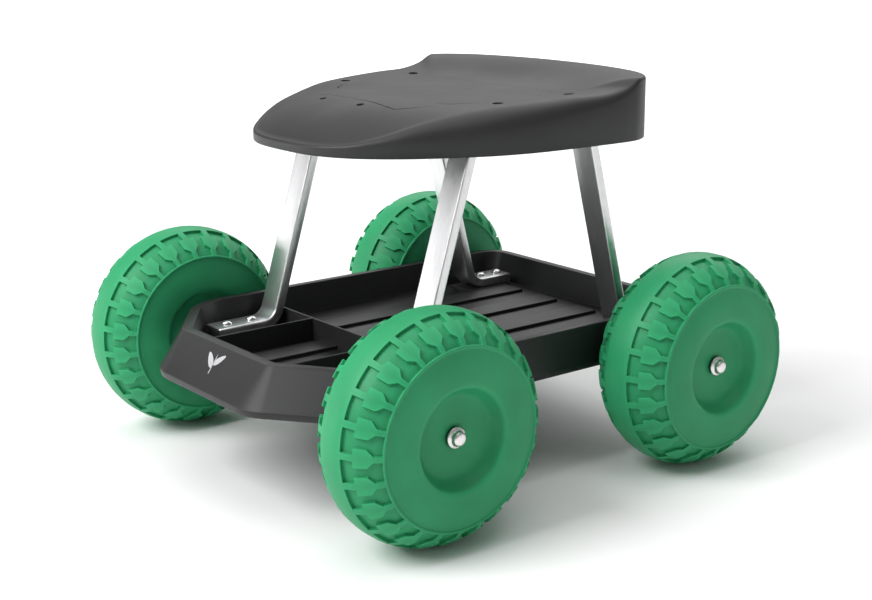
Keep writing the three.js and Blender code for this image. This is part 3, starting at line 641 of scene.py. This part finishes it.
SPRIG_X, SPRIG_Z = 0, 123
SPRIG_LIFT = 0.12  # how far the printed sprig stands off the nose
LEAF_TILT, LEAF_POINTS = 48, 24
SPRIG_LEAVES = [(-1, 18, 4, -5), (1, 16.5, 3.7, -2)]  # side, length, half width, height of the foot
SPRIG_STEM = [(-0.6, -11), (0.6, -11), (0.5, 4), (0, 9), (-0.5, 4)]


def on_nose(across, up):
    """A point on the nose's sloped front face, measured from the middle of the sprig."""
    slope = NOSE_FLARE / (RIM_TOP - SKIRT_EDGE)
    length = math.hypot(1, slope)
    z = SPRIG_Z + up / length
    y = -NOSE_Y - (RIM_TOP - z) * slope
    return (SPRIG_X + across, y - SPRIG_LIFT / length, z + SPRIG_LIFT * slope / length)


def add_sprig():
    """A plain stem with two leaves, printed flat on the nose."""
    shapes = []
    for lean, long, wide, foot in SPRIG_LEAVES:
        tilt = math.radians(LEAF_TILT * lean)
        leaf = []
        for step in range(LEAF_POINTS):
            turn = 2 * math.pi * step / LEAF_POINTS
            along = long * (1 - math.cos(turn)) / 2
            out = wide * math.sin(turn) * (0.6 + 0.4 * math.cos(turn / 2) ** 2)
            leaf.append((along * math.sin(tilt) + out * math.cos(tilt),
                         foot + along * math.cos(tilt) - out * math.sin(tilt)))
        shapes.append(leaf)
    shapes.append(SPRIG_STEM)
    points, faces = [], []
    for shape in shapes:
        faces.append(tuple(range(len(points), len(points) + len(shape))))
        points.extend(on_nose(*place) for place in shape)
    sprig = add_piece("nose_sprig", points, faces, "tray_plastic")
    sprig.data.materials[0] = MATERIALS["sprig_ink"]


# ---- Leg frames ----------------------------------------------------------------------------------

BAR_WIDTH, BAR_THICKNESS, BAR_ROUND = 27, 9.5, 1.6
FOOT_UNDER, BAR_TOP = PAD_TOP + 0.3, 330
FRONT_SLOPE, FRONT_FOOT_Y = 0.3086, -109.2
REAR_SLOPE, REAR_FOOT_Y = -0.261, 140.2
FOOT_TIPS = (-172.5, 193)
FOOT_BEND, TOP_BEND = 19, 9
BEND_STEPS, ROUND_STEPS = 12, 4
BAR_END = [(1.2, 0.0), (0.4, 0.4), (0.0, 1.2)]  # the rounded ends: how much smaller, how far along
FOOT_BOLTS = {"front": (-157.5, -130), "rear": (160.5, 183.5)}
BOLT_GAP = 0.1
# From the shank's tip up to the top of the domed head, as (radius, height over the seating face).
BOLT_PROFILE = [
    (2.9, -12.5), (2.9, 0), (5.0, 0), (5.0, 0.7), (4.75, 1.5), (4.1, 2.3), (3.0, 2.9), (1.6, 3.2),
    (0.3, 3.3),
]


def rotated(vector, angle):
    cosine, sine = math.cos(angle), math.sin(angle)
    return Vector((vector.x * cosine - vector.y * sine, vector.x * sine + vector.y * cosine))


def bar_stations():
    """The bar's middle line in side view, as (y, z, direction) with its bends rounded."""
    foot = FOOT_UNDER + BAR_THICKNESS / 2
    top = BAR_TOP - BAR_THICKNESS / 2
    corners = [Vector(corner) for corner in (
        (FOOT_TIPS[0], foot), (FRONT_FOOT_Y, foot), (FRONT_FOOT_Y + FRONT_SLOPE * (top - foot), top),
        (REAR_FOOT_Y + REAR_SLOPE * (top - foot), top), (REAR_FOOT_Y, foot), (FOOT_TIPS[1], foot))]
    radii = (0, FOOT_BEND, TOP_BEND, TOP_BEND, FOOT_BEND, 0)
    level = Vector((1, 0))
    stations = [(corners[0], level)]
    for i in range(1, len(corners) - 1):
        arriving = (corners[i] - corners[i - 1]).normalized()
        leaving = (corners[i + 1] - corners[i]).normalized()
        turn = math.atan2(arriving.x * leaving.y - arriving.y * leaving.x, arriving.dot(leaving))
        start = corners[i] - arriving * radii[i] * math.tan(abs(turn) / 2)
        normal = Vector((-arriving.y, arriving.x)) * math.copysign(radii[i], turn)
        centre = start + normal
        for step in range(BEND_STEPS + 1):
            angle = turn * step / BEND_STEPS
            stations.append((centre + rotated(start - centre, angle), rotated(arriving, angle)))
    stations.append((corners[-1], level))
    return stations


def bar_section(shrink=0.0):
    """The bar's rounded cross-section, as (across, through the thickness)."""
    section = []
    half_width, half_thick = BAR_WIDTH / 2 - shrink, BAR_THICKNESS / 2 - shrink
    for quarter, (u, v) in enumerate(((1, 1), (-1, 1), (-1, -1), (1, -1))):
        for step in range(ROUND_STEPS + 1):
            angle = math.radians(90 * (quarter + step / ROUND_STEPS))
            section.append((u * (half_width - BAR_ROUND) + BAR_ROUND * math.cos(angle),
                            v * (half_thick - BAR_ROUND) + BAR_ROUND * math.sin(angle)))
    return section


def add_leg_frames():
    stations = bar_stations()
    for side_name, side in SIDES.items():
        rings = []
        spots = [(stations[0], shrink, ahead) for shrink, ahead in BAR_END]
        spots += [(station, 0.0, 0.0) for station in stations[1:-1]]
        spots += [(stations[-1], shrink, -ahead) for shrink, ahead in reversed(BAR_END)]
        for (place, direction), shrink, ahead in spots:
            spot = place + direction * ahead
            normal = Vector((-direction.y, direction.x))
            rings.append([(side * LEG_X + across, *(spot + normal * through))
                          for across, through in bar_section(shrink)])
        points, faces = skinned(rings)
        add_piece(f"leg_bar_{side_name}", points, faces, "brushed_steel_bar", [f"leg_frame_{side_name}"],
                  smooth_angle=40)
        for end_name, places in FOOT_BOLTS.items():
            for i, y in enumerate(places):
                add_foot_bolt(f"{end_name}_{side_name}_{i + 1}", side * LEG_X, y)


def add_foot_bolt(suffix, x, y):
    seating = FOOT_UNDER + BAR_THICKNESS + BOLT_GAP
    points, faces = turned(BOLT_PROFILE, (x, y, seating), "z", 32)
    add_piece(f"foot_bolt_dome_{suffix}", points, faces, "zinc_fasteners", [f"foot_bolt_{suffix}"],
              smooth_angle=50)


# ---- Seat ----------------------------------------------------------------------------------------

SEAT_FLAT, SEAT_RIM_BOTTOM, SEAT_WALL = 342.5, 302, 4
SEAT_CENTRE = Vector((0, 12))
# Half the outline from the front tip round to the middle of the back: x, y, height of the shoulder
# and radius of the roll between the top and the side wall.
SEAT_OUTLINE = [
    (0, -161.5, 311, 3), (44, -158, 311.5, 3), (74, -145, 313.5, 3.5), (96, -125.5, 320.5, 8),
    (114, -102, 329.3, 14), (130.5, -71, 336.5, 19), (144.5, -38, 341, 20), (153, 0, 343.3, 18),
    (156.5, 50, 345.5, 14), (157.5, 90, 346.5, 8), (157, 110, 351, 5), (154.5, 124, 358.3, 3.5),
    (145, 140, 358.5, 3), (119, 159.5, 358.5, 3), (60, 176.5, 358.5, 3), (0, 181, 358.5, 3),
]
SEAT_TOP = 358.5
SEAT_STEPS = 210
SEAT_SHARES = [0.15, 0.3, 0.42, 0.52, 0.6, 0.67, 0.74, 0.8, 0.85, 0.89, 0.925, 0.955, 0.98, 1.0]
PAN_SHARE, PAN_WIDENING = 0.5, 0.1  # how far out the flat pan reaches in front, and how much more behind
FRONT_BLEND = (-60, 90)  # distances ahead of the origin between which the front's rise takes over
ROLL_STEPS = 6
SEAT_FOOT_ROUND, SEAT_FOOT_SCALE = 0.8, 0.995
SEAT_BOLTS_Y = (-12.6, 71)
DRAIN_PLACES = ((29, -97), (-29, -97))
# Each kind of hole: its radius, and the heights between which its cutter runs.
SCREW_WELL, RAIL_HOLE, DRAIN_HOLE = (5, 332, 365), (3.4, 325, 345), (3.5, 300, 365)
RAIL_X, RAIL_Y = (100, 132), (-34, 92)
RIBS_Y, RIB_REACH, RIB_HALF = (-20, 80), 138, 1.5
STIFFENER_GAP, STIFFENER_SINK = 0.3, 0.1  # clear of the bars below, and into the shell above
# Fine creases moulded into the seat's top, each a path of x, y and depth.
CREASE_HALF, CREASE_DEPTH, CREASE_LEAST, CREASE_FLOOR = 1.2, 1.4, 0.15, 0.3
OVER_SEAT = 400
SEAT_CREASES = [
    [(-65, -84.5, 0.5), (0, -86, 0.8), (50, -87, 1.2), (64, -86, 1.4), (72, -74, 1.1), (80, -58, 0.2)],
    [(74, -48, 0.3), (80, -46, 1.3), (86, -42, 1.4), (93, -32, 1.0), (101, -20, 0.2)],
    [(-74, -48, 0.3), (-80, -46, 1.3), (-86, -42, 1.4), (-93, -32, 1.0), (-101, -20, 0.2)],
    [(-108, 79, 0.5), (-60, 82, 0.8), (0, 83, 0.6), (60, 82, 0.8), (108, 79, 1.1)],
]


def seat_stations(inset):
    """Round the outline: (spoke from the centre, shoulder's height, roll's radius, frontness)."""
    left = [Vector((x, y, z, roll)) for x, y, z, roll in SEAT_OUTLINE]
    right = [Vector((-x, y, z, roll)) for x, y, z, roll in reversed(SEAT_OUTLINE[1:-1])]
    stations = []
    for point in smooth_loop(left + right, SEAT_STEPS):
        spoke = Vector((point[0], point[1])) - SEAT_CENTRE
        spoke *= (spoke.length - inset) / spoke.length
        frontness = smoothstep(*FRONT_BLEND, -point[1])
        stations.append((spoke, min(point[2], SEAT_TOP), point[3], frontness))
    return stations


def seat_height(share, edge, frontness):
    """The top's height at a share of the way out: flat in the pan, then rising to the edge."""
    start = PAN_SHARE + PAN_WIDENING * (1 - frontness)
    t = max(0.0, (share - start) / (1 - start))
    rise = frontness * t ** 2 + (1 - frontness) * t * t * (3 - 2 * t)
    return SEAT_FLAT + (edge - SEAT_FLAT) * rise


def seat_rings(inset, drop):
    """Rings over the seat's top from the middle out, then round the roll to the top of the wall."""
    stations = seat_stations(inset)
    rings = []
    for share in SEAT_SHARES:
        ring = []
        for spoke, edge, roll, frontness in stations:
            reach = share * (1 - roll / spoke.length)
            place = SEAT_CENTRE + spoke * reach
            ring.append((place.x, place.y, seat_height(share, edge, frontness) - drop))
        rings.append(ring)
    for step in range(1, ROLL_STEPS + 1):
        angle = math.pi / 2 * step / ROLL_STEPS
        ring = []
        for spoke, edge, roll, _ in stations:
            place = SEAT_CENTRE + spoke * (1 - roll * (1 - math.sin(angle)) / spoke.length)
            ring.append((place.x, place.y, edge - roll * (1 - math.cos(angle)) - drop))
        rings.append(ring)
    return rings


def add_seat():
    outside, inside = seat_rings(0, 0), seat_rings(SEAT_WALL, SEAT_WALL)
    foot_out = [(x, y, SEAT_RIM_BOTTOM + SEAT_FOOT_ROUND) for x, y, _ in outside[-1]]
    foot_flat = [(x * SEAT_FOOT_SCALE, y * SEAT_FOOT_SCALE, SEAT_RIM_BOTTOM) for x, y, _ in outside[-1]]
    foot_in = [(x, y, SEAT_RIM_BOTTOM) for x, y, _ in inside[-1]]
    rings = outside + [foot_out, foot_flat, foot_in] + list(reversed(inside))
    points, faces = skinned(rings)
    seat = add_piece("seat_shell", points, faces, "seat_plastic", ["seat"], smooth_angle=50)
    surface = BVHTree.FromPolygons([Vector(point) for point in points], faces)
    cutters = [groove(surface, path) for path in SEAT_CREASES]
    cutters += [hole(SCREW_WELL, side * LEG_X, y, 32) for side in SIDES.values() for y in SEAT_BOLTS_Y]
    cutters += [hole(DRAIN_HOLE, x, y) for x, y in DRAIN_PLACES]
    cut_away(seat, cutters, 50)


def add_seat_stiffeners():
    """The cross ribs and the rails that the bars' top runs are screwed up against."""
    bottom, top = BAR_TOP + STIFFENER_GAP, SEAT_FLAT - SEAT_WALL + STIFFENER_SINK
    for i, y in enumerate(RIBS_Y):
        points, faces = boxed(-RIB_REACH, RIB_REACH, y - RIB_HALF, y + RIB_HALF, bottom, top)
        add_piece(f"seat_rib_{i + 1}", points, faces, "seat_plastic", bevel=0.8)
    for side_name, side in SIDES.items():
        x0, x1 = sorted(side * x for x in RAIL_X)
        points, faces = boxed(x0, x1, *RAIL_Y, bottom, top)
        rail = add_piece(f"seat_rail_{side_name}", points, faces, "seat_plastic", bevel=0.8)
        cut_away(rail, [hole(RAIL_HOLE, side * LEG_X, y) for y in SEAT_BOLTS_Y], 50)


def hole(size, x, y, segments=24):
    """A round upright cutter, from a (radius, bottom, top)."""
    radius, bottom, top = size
    return turned([(radius, bottom), (radius, top)], (x, y, 0), "z", segments)


def groove(surface, path):
    """A cutter for a fine crease along a path of (x, y, depth) over the seat's top."""
    sections = []
    for i, (x, y, depth) in enumerate(path):
        before = Vector(path[max(i - 1, 0)][:2])
        after = Vector(path[min(i + 1, len(path) - 1)][:2])
        along = (after - before).normalized()
        across = Vector((-along.y, along.x)) * (CREASE_HALF * min(1, depth / CREASE_DEPTH) + CREASE_LEAST)
        top = surface.ray_cast(Vector((x, y, OVER_SEAT)), Vector((0, 0, -1)))[0].z
        sections.append([(x + across.x * reach, y + across.y * reach, z) for reach, z in (
            (1, top + 3), (-1, top + 3), (-CREASE_FLOOR, top - depth), (CREASE_FLOOR, top - depth))])
    return skinned(sections)


def cut_away(piece, cutters, smooth_angle):
    """Subtracts closed (points, faces) solids from a piece and applies the cut."""
    points, faces = join_points(cutters)
    mesh = bpy.data.meshes.new("cutter")
    mesh.from_pydata([mm(*point) for point in points], [], faces)
    edit = bmesh.new()
    edit.from_mesh(mesh)
    bmesh.ops.recalc_face_normals(edit, faces=edit.faces)
    edit.to_mesh(mesh)
    edit.free()
    tool = bpy.data.objects.new("cutter", mesh)
    bpy.context.collection.objects.link(tool)
    cut = piece.modifiers.new("cut", "BOOLEAN")
    cut.operation = "DIFFERENCE"
    cut.solver = "EXACT"
    cut.object = tool
    depsgraph = bpy.context.evaluated_depsgraph_get()
    result = bpy.data.meshes.new_from_object(piece.evaluated_get(depsgraph))
    piece.modifiers.remove(cut)
    piece.data = result
    bpy.data.objects.remove(tool)
    result.set_sharp_from_angle(angle=math.radians(smooth_angle))


# ---- Carried-over CAD pieces ---------------------------------------------------------------------

def finish_cad_pieces():
    """Gives every CAD node the material of its slot in the record."""
    slots = {entry["node"]: entry["material_slot"] for entry in frame["record"]["subparts"]}
    for name, node in frame["nodes"].items():
        node.data.materials.clear()
        node.data.materials.append(MATERIALS[slots[name]])


# ---- Stage and light -----------------------------------------------------------------------------

def add_area_light(name, place, target, size, power):
    data = bpy.data.lights.new(name, "AREA")
    data.shape = "RECTANGLE"
    data.size, data.size_y = size
    data.energy = power
    light = bpy.data.objects.new(name, data)
    bpy.context.collection.objects.link(light)
    light.location = place
    light.rotation_euler = (Vector(target) - Vector(place)).to_track_quat("-Z", "Y").to_euler()


FLOOR_HALF = 14
GLOW_START, GLOW_FULL, GLOW_STRENGTH = 1.2, 4, 0.8
WORLD_STRENGTH = 0.3
# name: (place, target, size, power in watts)
LIGHTS = {
    "key": ((-0.5, -2.4, 2.4), (0, 0, 0.2), (1.9, 1.9), 112),
    "top": ((0.1, -0.1, 2.6), (0, 0, 0.2), (2.6, 2.6), 32),
    "side_panel": ((-2.6, -2.3, 0.4), (0, 0, 0.3), (2.6, 0.75), 15),
    "backdrop": ((-5, 6.5, 4.5), (-5, 6.5, 0), (10, 10), 480),
}


def floor_paper():
    """White paper that glows away from the object, so that it stays white past the lights' reach."""
    material, nodes, links, shader = new_material("floor_paper")
    tone = ramp(nodes, links, noise(nodes, links, 3, 3), [(0.3, 0.9), (0.7, 0.92)])
    links.new(tone, shader.inputs["Base Color"])
    shader.inputs["Roughness"].default_value = 0.8
    shader.inputs["Specular IOR Level"].default_value = 0.1
    where = nodes.new("ShaderNodeTexCoord")
    distance = nodes.new("ShaderNodeVectorMath")
    distance.operation = "LENGTH"
    links.new(where.outputs["Object"], distance.inputs[0])
    glow = nodes.new("ShaderNodeMapRange")
    glow.inputs["From Min"].default_value = GLOW_START
    glow.inputs["From Max"].default_value = GLOW_FULL
    glow.inputs["To Max"].default_value = GLOW_STRENGTH
    links.new(distance.outputs["Value"], glow.inputs["Value"])
    links.new(glow.outputs["Result"], shader.inputs["Emission Strength"])
    shader.inputs["Emission Color"].default_value = (1, 1, 1, 1)
    return material


def add_floor():
    mesh = bpy.data.meshes.new("floor")
    corners = [(x * FLOOR_HALF, y * FLOOR_HALF, 0) for x, y in ((-1, -1), (1, -1), (1, 1), (-1, 1))]
    mesh.from_pydata(corners, [], [(0, 1, 2, 3)])
    mesh.materials.append(floor_paper())
    floor = bpy.data.objects.new("floor", mesh)
    bpy.context.collection.objects.link(floor)


def add_world():
    world = bpy.data.worlds.new("studio")
    bpy.context.scene.world = world
    world.use_nodes = True
    background = world.node_tree.nodes["Background"]
    background.inputs["Color"].default_value = (1, 1, 1, 1)
    background.inputs["Strength"].default_value = WORLD_STRENGTH


bpy.context.scene.view_settings.view_transform = "Standard"
add_camera()
add_wheels()
add_tray()
add_sprig()
add_leg_frames()
add_seat()
add_seat_stiffeners()
finish_cad_pieces()
add_floor()
add_world()
for name, (place, target, size, power) in LIGHTS.items():
    add_area_light(name, place, target, size, power)
